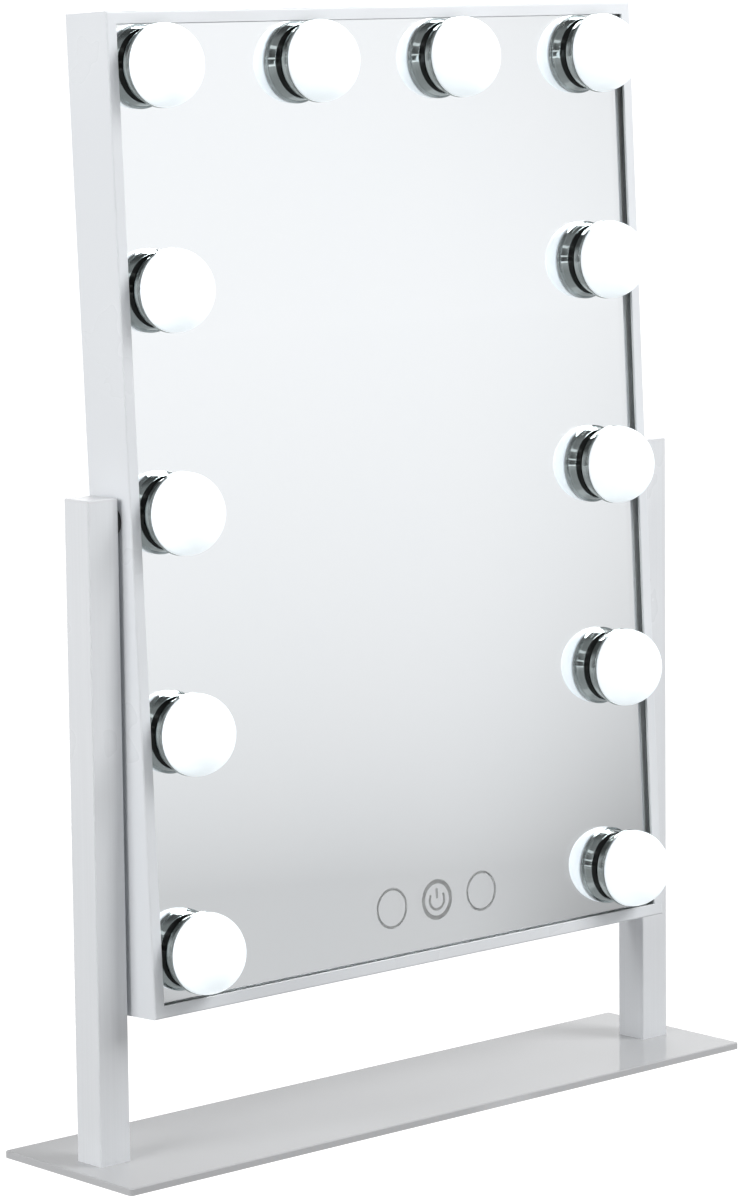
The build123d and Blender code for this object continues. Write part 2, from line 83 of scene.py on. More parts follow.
# the head's own directions, read from the frame
pivotPlace = np.array(frame["joints"][0]["pos_m"], float)
rightDir = np.array([1.0, 0.0, 0.0])
outDir = forwardNormal(nodes["mirror_glass"])
upDir = np.cross(outDir, rightDir)


def onHead(u, v, level):
    # place = pivot + u right + v up the glass + level out of the glass, on arrays of any one shape
    u, v, level = np.broadcast_arrays(u, v, level)
    return pivotPlace + u[..., None] * rightDir + v[..., None] * upDir + level[..., None] * outDir


def headBox(node):
    # lowest and highest (u, v, level) of a CAD node in the head's directions
    local = (cornersOf(nodes[node]) - pivotPlace) @ np.array([rightDir, upDir, outDir]).T
    return local.min(0), local.max(0)


glassLow, glassHigh = headBox("mirror_glass")
glassBack, glassFront = glassLow[2], glassHigh[2]


meshing = {
    "mergeDistance": 1e-7,  # m, points nearer than this become one
    "sharpAngle": 32.0,  # degrees, edges that turn more stay sharp
}


def gridFaces(rows, columns, closeRows, closeColumns):
    # four corners of every cell of a rows x columns grid of points, wrapped round where it closes
    i, j = np.meshgrid(
        np.arange(rows if closeRows else rows - 1),
        np.arange(columns if closeColumns else columns - 1),
        indexing="ij",
    )
    nextI, nextJ = (i + 1) % rows, (j + 1) % columns
    cells = [i * columns + j, nextI * columns + j, nextI * columns + nextJ, i * columns + nextJ]
    return np.stack([cell.ravel() for cell in cells], axis=1)


def putMesh(name, places, faces, material):
    # puts arrays of corners and faces into a mesh, merges doubles, turns faces outwards, shades it smooth
    mesh = bpy.data.meshes.new(name)
    mesh.from_pydata(places.reshape(-1, 3).tolist(), [], faces.tolist())
    work = bmesh.new()
    work.from_mesh(mesh)
    bmesh.ops.remove_doubles(work, verts=work.verts, dist=meshing["mergeDistance"])
    bmesh.ops.recalc_face_normals(work, faces=work.faces)
    work.to_mesh(mesh)
    work.free()
    mesh.shade_smooth()
    mesh.set_sharp_from_angle(angle=math.radians(meshing["sharpAngle"]))
    mesh.materials.append(material)
    piece = bpy.data.objects.new(name, mesh)
    bpy.context.scene.collection.objects.link(piece)
    return piece


def roundCorners(profile, steps=6):
    # a closed outline from rows of radius, height and rounding: a corner with a rounding r becomes the
    # arc that touches both its sides, with its centre at corner + bisector r / sin(half angle)
    rows = np.array(profile, float)
    points = rows[:, :2]
    outline = []
    for index, radius in enumerate(rows[:, 2]):
        corner = points[index]
        if radius == 0:
            outline.append(corner[None])
            continue
        back = points[index - 1] - corner
        ahead = points[(index + 1) % len(points)] - corner
        back, ahead = back / np.linalg.norm(back), ahead / np.linalg.norm(ahead)
        half = math.acos(np.clip(back @ ahead, -1, 1)) / 2
        bisector = (back + ahead) / np.linalg.norm(back + ahead)
        centre = corner + bisector * radius / math.sin(half)
        first = corner + back * radius / math.tan(half) - centre
        last = corner + ahead * radius / math.tan(half) - centre
        sweep = math.pi - 2 * half
        share = np.linspace(0, 1, steps)[:, None]
        arc = np.sin((1 - share) * sweep) * first + np.sin(share * sweep) * last
        outline.append(centre + arc / math.sin(sweep))
    return np.concatenate(outline)


def turned(name, outline, centre, level, steps, material):
    # a closed outline of radius r and height h in mm, turned once about the line out of the glass at
    # centre: place = onHead(centre u + r cos a, centre v + r sin a, level + h)
    angle = np.linspace(0, 2 * math.pi, steps, endpoint=False)
    radius, height = outline[:, :1] * mm, outline[:, 1:] * mm
    places = onHead(
        centre[0] + radius * np.cos(angle),
        centre[1] + radius * np.sin(angle),
        level + height + 0 * angle,
    )
    return putMesh(name, places, gridFaces(len(outline), steps, True, True), material)


def colour(text):
    # sRGB hex to linear red, green, blue, alpha
    values = np.array([int(text[i:i + 2], 16) for i in (1, 3, 5)]) / 255
    flat = np.where(values <= 0.04045, values / 12.92, ((values + 0.055) / 1.055) ** 2.4)
    return (*flat.tolist(), 1.0)


def perMetre(size):
    # texture scale that gives one pattern cell the size given in mm
    return 1000.0 / size


def put(tree, kind, inputs=None, **settings):
    # adds a node, sets its properties, and links or sets each input by name
    node = tree.nodes.new(kind)
    for key, value in settings.items():
        setattr(node, key, value)
    for key, value in (inputs or {}).items():
        if isinstance(value, bpy.types.NodeSocket):
            tree.links.new(value, node.inputs[key])
        else:
            node.inputs[key].default_value = value
    return node


def startFinish(name, shaderInputs):
    # a material with one Principled shader, its fixed values, and Object coordinates to draw on
    material = bpy.data.materials.new(name)
    material.use_nodes = True
    tree = material.node_tree
    tree.nodes.clear()
    shader = put(tree, "ShaderNodeBsdfPrincipled", shaderInputs)
    put(tree, "ShaderNodeOutputMaterial", {"Surface": shader.outputs["BSDF"]})
    place = put(tree, "ShaderNodeTexCoord").outputs["Object"]
    return material, tree, shader, place


noiseSpan = (0.3, 0.7)  # nearly all values of a noise texture lie between these


def mottle(tree, shader, place, look):
    # slow change of colour between two tones, and of roughness between two values
    patches = put(tree, "ShaderNodeTexNoise", {
        "Vector": place,
        "Scale": perMetre(look["patch"]),
        "Detail": 3.0,
    })
    tones = put(tree, "ShaderNodeMix", {
        "Factor": patches.outputs["Fac"],
        "A": colour(look["tones"][0]),
        "B": colour(look["tones"][1]),
    }, data_type="RGBA")
    rough = put(tree, "ShaderNodeMapRange", {
        "Value": patches.outputs["Fac"],
        "From Min": noiseSpan[0],
        "From Max": noiseSpan[1],
        "To Min": look["roughness"][0],
        "To Max": look["roughness"][1],
    })
    tree.links.new(tones.outputs["Result"], shader.inputs["Base Color"])
    tree.links.new(rough.outputs["Result"], shader.inputs["Roughness"])


def grain(tree, shader, height, look):
    # bump from a height pattern: its strength, and the pattern's real depth in mm
    strength, depth = look["bump"]
    bump = put(tree, "ShaderNodeBump", {"Strength": strength, "Distance": depth * mm, "Height": height})
    tree.links.new(bump.outputs["Normal"], shader.inputs["Normal"])


# In every look, patch is the size in mm of the slow changes of tone, and bump is the strength and
# then the depth in mm.
frameEnamelLook = {
    "ior": 1.5,
    "tones": ("#e3e6e9", "#dee1e5"),
    "patch": 60.0,
    "roughness": (0.26, 0.34),
    "peel": 2.2,  # mm, orange peel is a real wave of 1 to 3 mm
    "bump": (0.35, 0.02),
}


def makeFrameEnamel():
    # satin powder coat on an aluminium extrusion: pale, cool, soft gloss with a light orange peel
    look = frameEnamelLook
    material, tree, shader, place = startFinish("satinPowderCoat", {"IOR": look["ior"]})
    mottle(tree, shader, place, look)
    peel = put(tree, "ShaderNodeTexNoise", {
        "Vector": place,
        "Scale": perMetre(look["peel"]),
        "Detail": 2.0,
    })
    grain(tree, shader, peel.outputs["Fac"], look)
    return material


postEnamelLook = {
    "ior": 1.5,
    "tones": ("#e4e6e9", "#dee1e4"),
    "patch": 45.0,
    "roughness": (0.26, 0.36),
    "streak": (1.1, 90.0),  # mm across and along the post
    "streakShade": (0.98, 1.01),  # the tone is multiplied by these
    "bump": (0.25, 0.02),
}


def makePostEnamel():
    # the same coat over drawn steel tube: faint lines of the drawing run up the posts through it
    look = postEnamelLook
    material, tree, shader, place = startFinish("drawnTubeEnamel", {"IOR": look["ior"]})
    mottle(tree, shader, place, look)
    # draw lines are about 0.1 mm apart, drawn about ten times as coarse so that they show
    across, along = perMetre(look["streak"][0]), perMetre(look["streak"][1])
    stretched = put(tree, "ShaderNodeMapping", {"Vector": place, "Scale": (across, across, along)})
    lines = put(tree, "ShaderNodeTexNoise", {
        "Vector": stretched.outputs["Vector"],
        "Scale": 1.0,
        "Detail": 3.0,
    })
    toneIn = shader.inputs["Base Color"].links[0].from_socket
    shade = put(tree, "ShaderNodeMapRange", {
        "Value": lines.outputs["Fac"],
        "From Min": noiseSpan[0],
        "From Max": noiseSpan[1],
        "To Min": look["streakShade"][0],
        "To Max": look["streakShade"][1],
    })
    streaked = put(tree, "ShaderNodeVectorMath", {
        0: toneIn,
        "Scale": shade.outputs["Result"],
    }, operation="SCALE")
    tree.links.new(streaked.outputs["Vector"], shader.inputs["Base Color"])
    grain(tree, shader, lines.outputs["Fac"], look)
    return material


baseEnamelLook = {
    "ior": 1.5,
    "coat": (0.3, 0.05),  # weight and roughness of the clear coat
    "tones": ("#c3c4c6", "#bdbec0"),
    "patch": 80.0,
    "roughness": (0.04, 0.08),
    "wave": 6.0,  # mm
    "bump": (0.15, 0.02),
}


def makeBaseEnamel():
    # gloss baked enamel on flat steel sheet: it mirrors the posts, softened by a long shallow wave
    look = baseEnamelLook
    material, tree, shader, place = startFinish("bakedGlossEnamel", {
        "IOR": look["ior"],
        "Coat Weight": look["coat"][0],
        "Coat Roughness": look["coat"][1],
    })
    mottle(tree, shader, place, look)
    wave = put(tree, "ShaderNodeTexNoise", {
        "Vector": place,
        "Scale": perMetre(look["wave"]),
        "Detail": 2.0,
    })
    grain(tree, shader, wave.outputs["Fac"], look)
    return material


chromeLook = {
    "tones": ("#ccd4d3", "#c0c9c8"),
    "patch": 9.0,
    "roughness": (0.06, 0.12),
    "ripple": 5.0,  # mm, left by polishing
    "bump": (0.05, 0.02),
}


def makeChrome():
    # bright chrome plate over brass: a hard mirror with a cool tint and slight wiping haze
    look = chromeLook
    material, tree, shader, place = startFinish("brightChromePlate", {"Metallic": 1.0})
    mottle(tree, shader, place, look)
    ripple = put(tree, "ShaderNodeTexNoise", {
        "Vector": place,
        "Scale": perMetre(look["ripple"]),
        "Detail": 1.0,
    })
    grain(tree, shader, ripple.outputs["Fac"], look)
    return material


globeLook = {
    "ior": 1.58,
    "tones": ("#f8fbff", "#f2f8fd"),
    "patch": 12.0,
    "roughness": (0.22, 0.3),
    "tint": "#f0fbfe",  # of the light inside
    "glow": (0.0, 0.5),  # strength at the skirt and on the dome
    "skirt": (6.3, 7.1),  # mm above the glass, the glow starts and is full
    "skin": 0.8,  # mm, grain of the moulded skin
    "bump": (0.1, 0.01),
}


def makeGlobe():
    # opal polycarbonate lit from inside: even cool white down to the skirt, which sits dark in the cup
    look = globeLook
    material, tree, shader, place = startFinish("opalPolycarbonate", {
        "IOR": look["ior"],
        "Emission Color": colour(look["tint"]),
    })
    mottle(tree, shader, place, look)
    # how far out a place lies along the head's outward direction
    away = put(tree, "ShaderNodeVectorMath", {0: place, 1: tuple(outDir)}, operation="DOT_PRODUCT")
    glassAway = float(pivotPlace @ outDir + glassFront)
    glow = put(tree, "ShaderNodeMapRange", {
        "Value": away.outputs["Value"],
        "From Min": glassAway + look["skirt"][0] * mm,
        "From Max": glassAway + look["skirt"][1] * mm,
        "To Min": look["glow"][0],
        "To Max": look["glow"][1],
    })
    tree.links.new(glow.outputs["Result"], shader.inputs["Emission Strength"])
    skin = put(tree, "ShaderNodeTexNoise", {
        "Vector": place,
        "Scale": perMetre(look["skin"]),
        "Detail": 2.0,
    })
    grain(tree, shader, skin.outputs["Fac"], look)
    return material


glassLook = {"ior": 1.52, "tones": ("#fdfefe", "#fbfdfe"), "patch": 70.0, "roughness": (0.0, 0.006)}


def makeGlass():
    # float glass, soda-lime: clear and dead flat, with the faintest cool tint
    look = glassLook
    material, tree, shader, place = startFinish("floatGlass", {
        "IOR": look["ior"],
        "Transmission Weight": 1.0,
    })
    mottle(tree, shader, place, look)
    return material


silverLook = {"tones": ("#f6f7f9", "#f4f6f8"), "patch": 120.0, "roughness": (0.0, 0.01)}


def makeSilver():
    # chemically deposited silver behind the glass: the mirror's own image
    material, tree, shader, place = startFinish("mirrorSilver", {"Metallic": 1.0})
    mottle(tree, shader, place, silverLook)
    return material


etchLook = {
    "ior": 1.52,
    "tones": ("#cccece", "#bfc1c1"),
    "patch": 1.5,
    "roughness": (0.5, 0.7),
    "sand": 0.2,  # mm
    "bump": (0.3, 0.02),
}


def makeEtch():
    # silver etched away to a frosted line: soft grey, finely sandy
    look = etchLook
    material, tree, shader, place = startFinish("etchedSilver", {"IOR": look["ior"]})
    mottle(tree, shader, place, look)
    sand = put(tree, "ShaderNodeTexNoise", {
        "Vector": place,
        "Scale": perMetre(look["sand"]),
        "Detail": 2.0,
    })
    grain(tree, shader, sand.outputs["Fac"], look)
    return material


foamLooks = {
    # the glass's gasket is a pale tape, the cups' and the base's foam is black
    "gasket_rubber": {"ior": 1.45, "tones": ("#e4eae9", "#d8dedd"), "patch": 3.0,
                      "roughness": (0.75, 0.9), "cell": 0.35, "bump": (0.5, 0.1)},
    "base_foam": {"ior": 1.45, "tones": ("#2a2b2c", "#202122"), "patch": 8.0,
                  "roughness": (0.8, 0.95), "cell": 0.5, "bump": (0.5, 0.1)},
}


def makeFoam(slot):
    # closed-cell foam cut from sheet: dead matt, with open half cells at the cut face
    look = foamLooks[slot]
    material, tree, shader, place = startFinish("cellFoam_" + slot, {"IOR": look["ior"]})
    mottle(tree, shader, place, look)
    cells = put(tree, "ShaderNodeTexVoronoi", {"Vector": place, "Scale": perMetre(look["cell"])})
    grain(tree, shader, cells.outputs["Distance"], look)
    return material


mouldedLooks = {
    "cap_plastic": {"name": "satinAbs", "ior": 1.54, "tones": ("#e2e3e6", "#dcdee1"),
                    "patch": 20.0, "roughness": (0.3, 0.4), "grit": 0.5, "bump": (0.4, 0.01)},
    "panel_plastic": {"name": "grainedAbsSheet", "ior": 1.54, "tones": ("#e1e2e4", "#d9dadd"),
                      "patch": 50.0, "roughness": (0.42, 0.55), "grit": 0.7, "bump": (0.4, 0.03)},
    "block_plastic": {"name": "mouldedBlackAbs", "ior": 1.54, "tones": ("#3a3a3c", "#323234"),
                      "patch": 12.0, "roughness": (0.4, 0.55), "grit": 0.5, "bump": (0.4, 0.02)},
    "nylon": {"name": "blackNylon", "ior": 1.53, "tones": ("#1c1c1d", "#141415"),
              "patch": 6.0, "roughness": (0.35, 0.5), "grit": 0.4, "bump": (0.4, 0.01)},
    "backing": {"name": "polystyreneBoard", "ior": 1.59, "tones": ("#dcdbd8", "#d2d1cd"),
                "patch": 30.0, "roughness": (0.6, 0.75), "grit": 1.0, "bump": (0.4, 0.03)},
    "jack_plastic": {"name": "mouldedBlackNylon", "ior": 1.53, "tones": ("#1a1a1a", "#131313"),
                     "patch": 4.0, "roughness": (0.35, 0.5), "grit": 0.3, "bump": (0.4, 0.01)},
    "wire_jacket": {"name": "pvcInsulation", "ior": 1.53, "tones": ("#e6e6e4", "#dcdcd9"),
                    "patch": 10.0, "roughness": (0.35, 0.45), "grit": 0.6, "bump": (0.4, 0.01)},
}


def makeMoulded(slot):
    # moulded or extruded plastic: soft gloss over the spark grain of its tool
    look = mouldedLooks[slot]
    material, tree, shader, place = startFinish(look["name"], {"IOR": look["ior"]})
    mottle(tree, shader, place, look)
    grit = put(tree, "ShaderNodeTexNoise", {
        "Vector": place,
        "Scale": perMetre(look["grit"]),
        "Detail": 3.0,
    })
    grain(tree, shader, grit.outputs["Fac"], look)
    return material


zincLook = {
    "tones": ("#a9adb2", "#8f9398"),
    "patch": 1.6,
    "roughness": (0.2, 0.36),
    "crystal": 0.3,  # mm
    "bump": (0.3, 0.02),
}


def makeZinc(name):
    # bright zinc plate on steel: metal grey with a faint patchy bloom and a fine crystal
    look = zincLook
    material, tree, shader, place = startFinish(name, {"Metallic": 1.0})
    mottle(tree, shader, place, look)
    crystal = put(tree, "ShaderNodeTexNoise", {
        "Vector": place,
        "Scale": perMetre(look["crystal"]),
        "Detail": 2.0,
    })
    grain(tree, shader, crystal.outputs["Fac"], look)
    return material


boardLook = {
    "ior": 1.55,
    "tones": ("#e8ebe6", "#dfe3dc"),
    "patch": 5.0,
    "roughness": (0.3, 0.42),
    "weave": 0.6,  # mm from yarn to yarn, drawn a little over twice as coarse so that it shows
    "bump": (0.15, 0.01),
}


def makeBoard():
    # white solder mask over glass-epoxy: even gloss with the glass cloth's weave just under it
    look = boardLook
    material, tree, shader, place = startFinish("whiteSolderMask", {"IOR": look["ior"]})
    mottle(tree, shader, place, look)
    weave = put(tree, "ShaderNodeTexWave", {
        "Vector": place,
        "Scale": perMetre(look["weave"]) / (2 * math.pi),
        "Distortion": 1.0,
    }, bands_direction="DIAGONAL")
    grain(tree, shader, weave.outputs["Fac"], look)
    return material


finishes = {
    "frame_enamel": makeFrameEnamel(),
    "post_enamel": makePostEnamel(),
    "base_enamel": makeBaseEnamel(),
    "cup_chrome": makeChrome(),
    "globe_opal": makeGlobe(),
    "mirror": makeGlass(),
    "zinc_steel": makeZinc("brightZinc"),
    "stem_nut_steel": makeZinc("brightZincNut"),
    "circuit_board": makeBoard(),
}
finishes.update({slot: makeFoam(slot) for slot in foamLooks})
finishes.update({slot: makeMoulded(slot) for slot in mouldedLooks})
silver, etch = makeSilver(), makeEtch()

for node in nodes.values():
    for index in range(len(node.data.materials)):
        node.data.materials[index] = finishes[node.data.materials[index].name.split(".")[0]]
print("finishes on", len(nodes), "nodes from", len(finishes), "slots")


silverCoat = {
    "lift": 0.01,  # mm above the glass's back face
    "thickness": 0.02,  # mm
    "mergeDistance": 1e-6,  # m, the glass's loose triangles are joined within this
}


def makeSilverCoat():
    # the glass's own back face, holes and all, as a thin coat just inside the glass: the triangles whose
    # three corners lie in the glass's back half, moved out by lift + thickness, with a wall behind them
    coat = silverCoat
    glass = nodes["mirror_glass"]
    corners = cornersOf(glass)
    triangles = np.zeros(len(glass.data.loops), np.int32)
    glass.data.loops.foreach_get("vertex_index", triangles)
    triangles = triangles.reshape(-1, 3)
    heights = (corners - pivotPlace) @ outDir
    back = triangles[heights[triangles].max(axis=1) <= (glassBack + glassFront) / 2]
    used, faces = np.unique(back, return_inverse=True)
    places = corners[used] + outDir * (coat["lift"] + coat["thickness"]) * mm
    mesh = bpy.data.meshes.new("silverCoat")
    # each triangle's corners are turned round, so that the coat's face looks out of the glass
    mesh.from_pydata(places.tolist(), [], faces.reshape(-1, 3)[:, ::-1].tolist())
    work = bmesh.new()
    work.from_mesh(mesh)
    bmesh.ops.remove_doubles(work, verts=work.verts, dist=coat["mergeDistance"])
    work.to_mesh(mesh)
    work.free()
    mesh.shade_flat()
    mesh.materials.append(silver)
    piece = bpy.data.objects.new("silverCoat", mesh)
    bpy.context.scene.collection.objects.link(piece)
    wall = piece.modifiers.new("wall", "SOLIDIFY")
    wall.thickness = coat["thickness"] * mm
    wall.offset = -1.0
    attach(piece, "head")


makeSilverCoat()

touchMarks = {
    "ringRadius": 8.95,  # mm, outside of each ring
    "ringLine": (1.15, 1.9, 1.15),  # mm, width of each ring's line
    "pitch": 26.6,  # mm from ring to ring
    "height": 0.04,  # mm, how far the marks stand in front of the silver
    "symbolRadius": 4.3,  # mm, middle of the arc's line
    "symbolOpening": 110.0,  # degrees left open at the top
    "symbolLine": 1.2,  # mm
    "bar": (0.4, 5.2),  # mm above the ring's centre, from and to
    "ringSteps": 96,
    "arcSteps": 90,
    "barSteps": 60,
}
sensorLow, sensorHigh = headBox("touch_sensor_board")
touchCentre = (sensorLow + sensorHigh) / 2


def band(name, middle, across, level, height, material):
    # flat band with round ends, along middle, a centre line of (u, v) in mm, with across as its unit
    # sideways direction: half width = w sqrt(1 - (distance past the end's centre / w)^2)
    half = touchMarks["symbolLine"] / 2
    steps = np.linalg.norm(np.diff(middle, axis=0), axis=1)
    run = np.concatenate([[0], np.cumsum(steps)])
    past = np.maximum(half - run, 0) + np.maximum(run - (run[-1] - half), 0)
    width = half * np.sqrt(np.clip(1 - (past / half) ** 2, 0, 1))
    side = np.array([-1, 1, 1, -1])  # the four corners of the band's section
    rise = np.array([0, 0, 1, 1]) * height
    u = middle[:, :1] + across[:, :1] * width[:, None] * side
    v = middle[:, 1:] + across[:, 1:] * width[:, None] * side
    places = onHead(touchCentre[0] + u * mm, touchCentre[1] + v * mm, level + (rise + 0 * u) * mm)
    return putMesh(name, places, gridFaces(len(middle), 4, False, True), material)


def makeTouchMarks():
    # three rings, and the power symbol's arc and bar in the middle one, standing on the silver
    marks = touchMarks
    level = glassBack + (silverCoat["lift"] + silverCoat["thickness"]) * mm
    pieces = []
    for index, line in enumerate(marks["ringLine"]):
        outer, inner, top = marks["ringRadius"], marks["ringRadius"] - line, marks["height"]
        section = np.array([(inner, 0), (outer, 0), (outer, top), (inner, top)])
        centre = (touchCentre[0] + (index - 1) * marks["pitch"] * mm, touchCentre[1])
        pieces.append(turned(f"touchRing_{index + 1}", section, centre, level, marks["ringSteps"], etch))
    opening = math.radians(marks["symbolOpening"]) / 2
    angle = np.linspace(math.pi / 2 + opening, 2.5 * math.pi - opening, marks["arcSteps"])
    ray = np.stack([np.cos(angle), np.sin(angle)], axis=1)
    pieces.append(band("powerArc", ray * marks["symbolRadius"], ray, level, marks["height"], etch))
    low, high = marks["bar"]
    ends = (1 - np.cos(np.linspace(0, math.pi, marks["barSteps"]))) / 2  # closer at both ends
    bar = np.stack([0 * ends, low + (high - low) * ends], axis=1)
    sideways = np.tile([1.0, 0.0], (len(bar), 1))
    pieces.append(band("powerBar", bar, sideways, level, marks["height"], etch))
    for piece in pieces:
        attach(piece, "head")


makeTouchMarks()
print("silver coat and touch marks done")


# Radii, and heights above the glass, in mm. A profile's rows are radius, height and rounding.
bulb = {
    "foam": [(4.5, 0, 0), (15.4, 0, 0), (15.4, 0.25, 0), (4.5, 0.25, 0)],
    "cup": [
        (2.6, -13.5, 0),  # back end of the stem and its bore
        (4.0, -13.5, 0),
        (4.0, 0.25, 0),  # foot, on the foam
        (15.7, 0.25, 0.3),
        (16.5, 3.9, 0.15),  # neck, at the end of the flare
        (16.5, 4.4, 0.12),
        (17.4, 4.7, 0.35),  # rim
        (17.4, 5.5, 0.35),
        (16.8, 5.6, 0.1),  # narrow dark groove between the rim and the globe
        (16.8, 6.0, 0.05),
        (16.25, 6.0, 0.05),  # mouth, round the globe's skirt
        (16.25, 4.7, 0),
        (15.0, 2.4, 0),  # bowl
        (14.4, 2.0, 0),
        (2.6, 2.0, 0),
    ],
    "skirt": [
        (14.9, 6.0, 0),
        (14.9, 4.9, 0),
        (16.1, 4.9, 0),
        (16.1, 6.0, 0),
        (17.3, 6.0, 0.4),
        (17.3, 7.5, 0),
    ],
    "globeRadius": 17.3,
    "globeWall": 1.5,
    "shoulder": 7.5,  # where the dome starts
    "domeHeight": 15.5,
    "domeSteps": 36,  # from the shoulder to the top
    "turnSteps": 96,  # round the cup and the globe
    "foamSteps": 64,
}


def globeOutline():
    # the skirt, then the dome, a quarter ellipse up to the axis, and back one wall thickness inside it:
    # radius = R cos t, height = shoulder + H sin t
    radius, wall, height = bulb["globeRadius"], bulb["globeWall"], bulb["domeHeight"]
    turn = np.linspace(0, math.pi / 2, bulb["domeSteps"])
    outer = np.stack([radius * np.cos(turn), bulb["shoulder"] + height * np.sin(turn)], axis=1)
    inner = np.stack([
        (radius - wall) * np.cos(turn),
        bulb["shoulder"] + (height - wall) * np.sin(turn),
    ], axis=1)[::-1]
    outer[-1, 0] = inner[0, 0] = 0
    return np.concatenate([roundCorners(bulb["skirt"])[:-1], outer, inner])


def makeBulbs():
    # a cup, a globe and the foam under the cup, turned about the middle of each CAD globe
    cup, globe, foam = roundCorners(bulb["cup"]), globeOutline(), roundCorners(bulb["foam"])
    turnSteps, foamSteps = bulb["turnSteps"], bulb["foamSteps"]
    chrome, opal, black = (finishes[slot] for slot in ("cup_chrome", "globe_opal", "base_foam"))
    globeNodes = sorted(name for name in nodes if name.startswith("bulb_globe_"))
    for node in globeNodes:
        number = node[-2:]
        low, high = headBox(node)
        centre = (low[:2] + high[:2]) / 2
        pieces = {
            "cup_chrome": turned("chromeCup_" + number, cup, centre, glassFront, turnSteps, chrome),
            "globe_opal": turned("opalGlobe_" + number, globe, centre, glassFront, turnSteps, opal),
            "base_foam": turned("cupFoam_" + number, foam, centre, glassFront, foamSteps, black),
        }
        for slot, piece in pieces.items():
            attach(piece, "head")
        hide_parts("bulb_cup_" + number)
        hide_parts(node)
    return len(globeNodes)


print("bulbs done:", makeBulbs())


# Each part of the room has the direction it lies in, its radiance, and how many degrees from that
# direction it starts and is full.
stage = {
    "reach": 40.0,  # m from the middle to the floor's edge
    "drop": 0.1,  # mm from the object's underside down to the floor
    "white": 1.25,  # radiance of floor and backdrop where the camera looks at them
    "room": 0.68,  # radiance of the room that lights the object
    "ceiling": {"toward": (0.0, 0.0, 1.0), "level": 0.3, "edge": (80.0, 55.0)},
    "leftEnd": {"toward": (-1.0, 0.2, 0.1), "level": 0.5, "edge": (55.0, 25.0)},
    "back": {"toward": (0.5, 0.86, 0.15), "level": 0.45, "edge": (35.0, 12.0)},
    # the base's sheen comes from the right end, and the mirror shows the panel
    "rightEnd": {"toward": (0.88, 0.47, 0.15), "level": 1.05, "edge": (28.0, 10.0)},
    "panel": {"toward": (0.56, -0.83, -0.04), "level": 1.02, "edge": (17.0, 8.0)},
    # the chrome's dark bands come from these three
    "frontAbove": {"toward": (0.1, -0.75, 0.65), "level": 0.08, "edge": (36.0, 18.0)},
    "unlit": {"toward": (-0.74, -0.67, 0.12), "level": 0.1, "edge": (40.0, 20.0)},
    "unlitFloor": {"toward": (-0.74, -0.67, 0.12), "level": 0.62, "edge": (40.0, 20.0)},
    "floorParts": ("leftEnd", "panel", "unlitFloor"),
    "worldParts": ("ceiling", "leftEnd", "back", "rightEnd", "frontAbove", "panel", "unlit"),
    "falloff": 0.29,  # m, the floor's light falls by this over the distance from the object
    "falloffStart": 0.82,  # m, nearer than this it falls no further
}


def roomLight(tree, direction, parts):
    # radiance of the room along a direction: even, then each part in turn blends in, by a smooth step
    # of the cosine of the angle to its own direction
    level = stage["room"]
    for part in (stage[name] for name in parts):
        toward = tuple(Vector(part["toward"]).normalized())
        near = put(tree, "ShaderNodeVectorMath", {0: direction, 1: toward}, operation="DOT_PRODUCT")
        edge, full = (math.cos(math.radians(angle)) for angle in part["edge"])
        level = put(tree, "ShaderNodeMapRange", {
            "Value": near.outputs["Value"],
            "From Min": edge,
            "From Max": full,
            "To Min": level,
            "To Max": part["level"],
        }, interpolation_type="SMOOTHSTEP").outputs["Result"]
    return level


def whiteForCamera(tree, level):
    # plain white where the camera looks straight at the stage, the room's light for everything else
    ray = put(tree, "ShaderNodeLightPath")
    return put(tree, "ShaderNodeMix", {
        "Factor": ray.outputs["Is Camera Ray"],
        "A": level,
        "B": stage["white"],
    }, data_type="FLOAT").outputs["Result"]


def makeFloor():
    # flat paper sheet that falls off towards the object: light = room light (1 - falloff / distance)
    reach = stage["reach"]
    mesh = bpy.data.meshes.new("floor")
    z = cadBox[0][2] - stage["drop"] * mm
    corners = [(-reach, -reach, z), (reach, -reach, z), (reach, reach, z), (-reach, reach, z)]
    mesh.from_pydata(corners, [], [(0, 1, 2, 3)])
    floor = bpy.data.objects.new("floor", mesh)
    bpy.context.scene.collection.objects.link(floor)
    material = bpy.data.materials.new("paperSweep")
    material.use_nodes = True
    tree = material.node_tree
    tree.nodes.clear()
    place = put(tree, "ShaderNodeTexCoord").outputs["Object"]
    distance = put(tree, "ShaderNodeVectorMath", {0: place}, operation="LENGTH").outputs["Value"]
    kept = put(tree, "ShaderNodeMath", {0: distance, 1: stage["falloffStart"]}, operation="MAXIMUM")
    lost = put(tree, "ShaderNodeMath", {0: stage["falloff"], 1: kept.outputs["Value"]}, operation="DIVIDE")
    share = put(tree, "ShaderNodeMath", {0: 1.0, 1: lost.outputs["Value"]}, operation="SUBTRACT")
    direction = put(tree, "ShaderNodeVectorMath", {0: place}, operation="NORMALIZE")
    room = roomLight(tree, direction.outputs["Vector"], stage["floorParts"])
    level = put(tree, "ShaderNodeMath", {0: room, 1: share.outputs["Value"]}, operation="MULTIPLY")
    strength = whiteForCamera(tree, level.outputs["Value"])
    glow = put(tree, "ShaderNodeEmission", {"Color": colour("#ffffff"), "Strength": strength})
    put(tree, "ShaderNodeOutputMaterial", {"Surface": glow.outputs["Emission"]})
    mesh.materials.append(material)


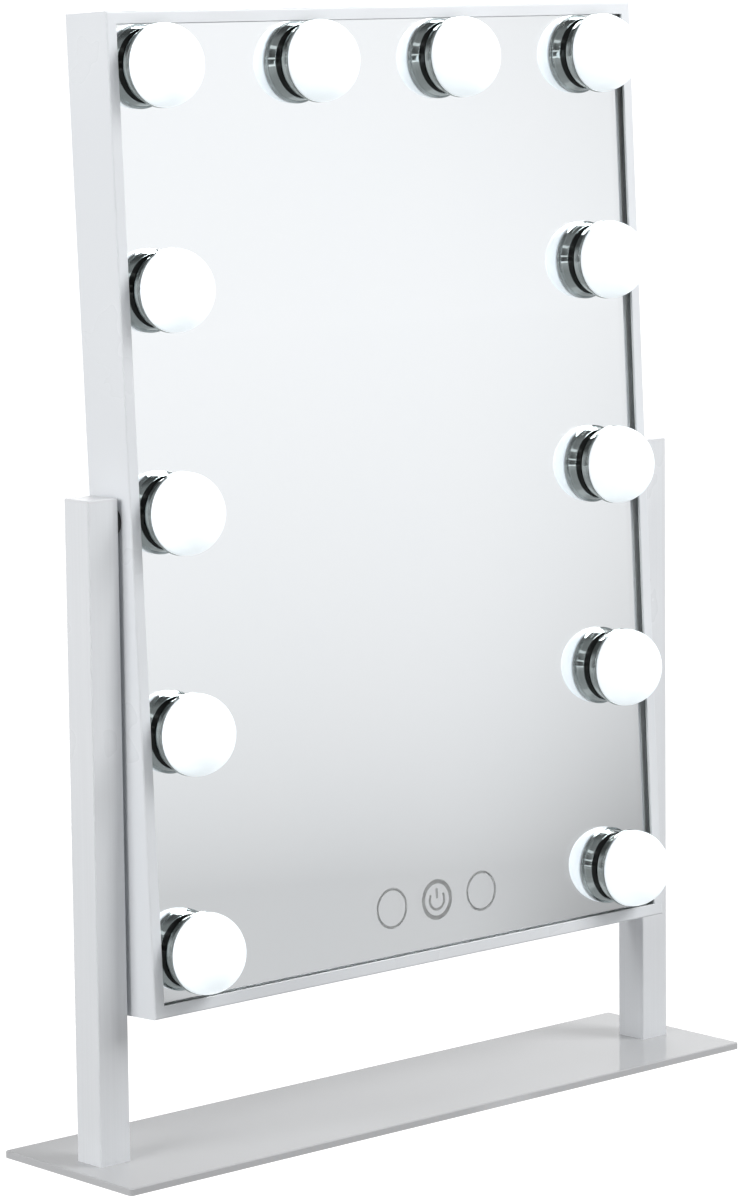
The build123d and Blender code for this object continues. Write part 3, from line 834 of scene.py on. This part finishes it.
def makeWorld():
    # the room above and beyond the floor, by direction
    world = bpy.data.worlds.new("studio")
    bpy.context.scene.world = world
    world.use_nodes = True
    tree = world.node_tree
    tree.nodes.clear()
    direction = put(tree, "ShaderNodeTexCoord").outputs["Generated"]
    strength = whiteForCamera(tree, roomLight(tree, direction, stage["worldParts"]))
    sky = put(tree, "ShaderNodeBackground", {"Color": colour("#ffffff"), "Strength": strength})
    put(tree, "ShaderNodeOutputWorld", {"Surface": sky.outputs["Background"]})


lightAim = (0.0, 0.0, 0.25)  # m, where every softbox points
softboxes = [  # place and size in m, power in W
    {"name": "leftKey", "place": (-2.5, -0.15, 1.2), "size": (1.4, 1.4), "power": 45.0},
    {"name": "frontFill", "place": (1.0, -1.25, 1.35), "size": (0.9, 0.9), "power": 28.0},
    {"name": "backFill", "place": (1.9, 2.1, 1.9), "size": (1.2, 1.2), "power": 30.0},
    {"name": "lowStrip", "place": (-2.3, -1.0, 0.25), "size": (1.2, 0.14), "power": 0.6},
    {"name": "middleStrip", "place": (-2.2, -1.0, 0.95), "size": (1.2, 0.16), "power": 0.7},
    {"name": "highStrip", "place": (-1.5, -1.1, 1.9), "size": (1.2, 0.3), "power": 1.0},
]
notMirrored = ("leftKey",)  # it would put a hard white patch on every chrome cup


def makeLights():
    # soft rectangles of light, unseen by the camera itself
    for box in softboxes:
        light = bpy.data.lights.new(box["name"], "AREA")
        light.shape = "RECTANGLE"
        light.size, light.size_y = box["size"]
        light.energy = box["power"]
        lamp = bpy.data.objects.new(box["name"], light)
        lamp.location = box["place"]
        aim = Vector(lightAim) - Vector(box["place"])
        lamp.rotation_euler = aim.to_track_quat("-Z", "Y").to_euler()
        lamp.visible_camera = False
        lamp.visible_glossy = box["name"] not in notMirrored
        bpy.context.scene.collection.objects.link(lamp)


view = {
    "place": (-1.28084, -1.42366, 0.49374),  # m
    "azimuth": -41.82,  # degrees, 0 looks along +Y
    "elevation": 8.0,  # degrees, looking down
    "roll": -0.655,
    "lens": 133.3,  # mm
    "sensor": 36.0,  # mm
    "clipEnd": 200.0,  # m
}


def makeCamera():
    # turned about Z, tilted down, then rolled about its own line of sight
    data = bpy.data.cameras.new("camera")
    data.lens = view["lens"]
    data.sensor_width = view["sensor"]
    data.clip_end = view["clipEnd"]
    camera = bpy.data.objects.new("camera", data)
    turn = Matrix.Rotation(math.radians(view["azimuth"]), 4, "Z")
    tilt = Matrix.Rotation(math.radians(90 - view["elevation"]), 4, "X")
    roll = Matrix.Rotation(math.radians(view["roll"]), 4, "Z")
    camera.matrix_world = Matrix.Translation(view["place"]) @ turn @ tilt @ roll
    bpy.context.scene.collection.objects.link(camera)
    bpy.context.scene.camera = camera


makeFloor()
makeWorld()
makeLights()
makeCamera()
bpy.context.scene.view_settings.view_transform = "Standard"
print("stage, light and camera done")
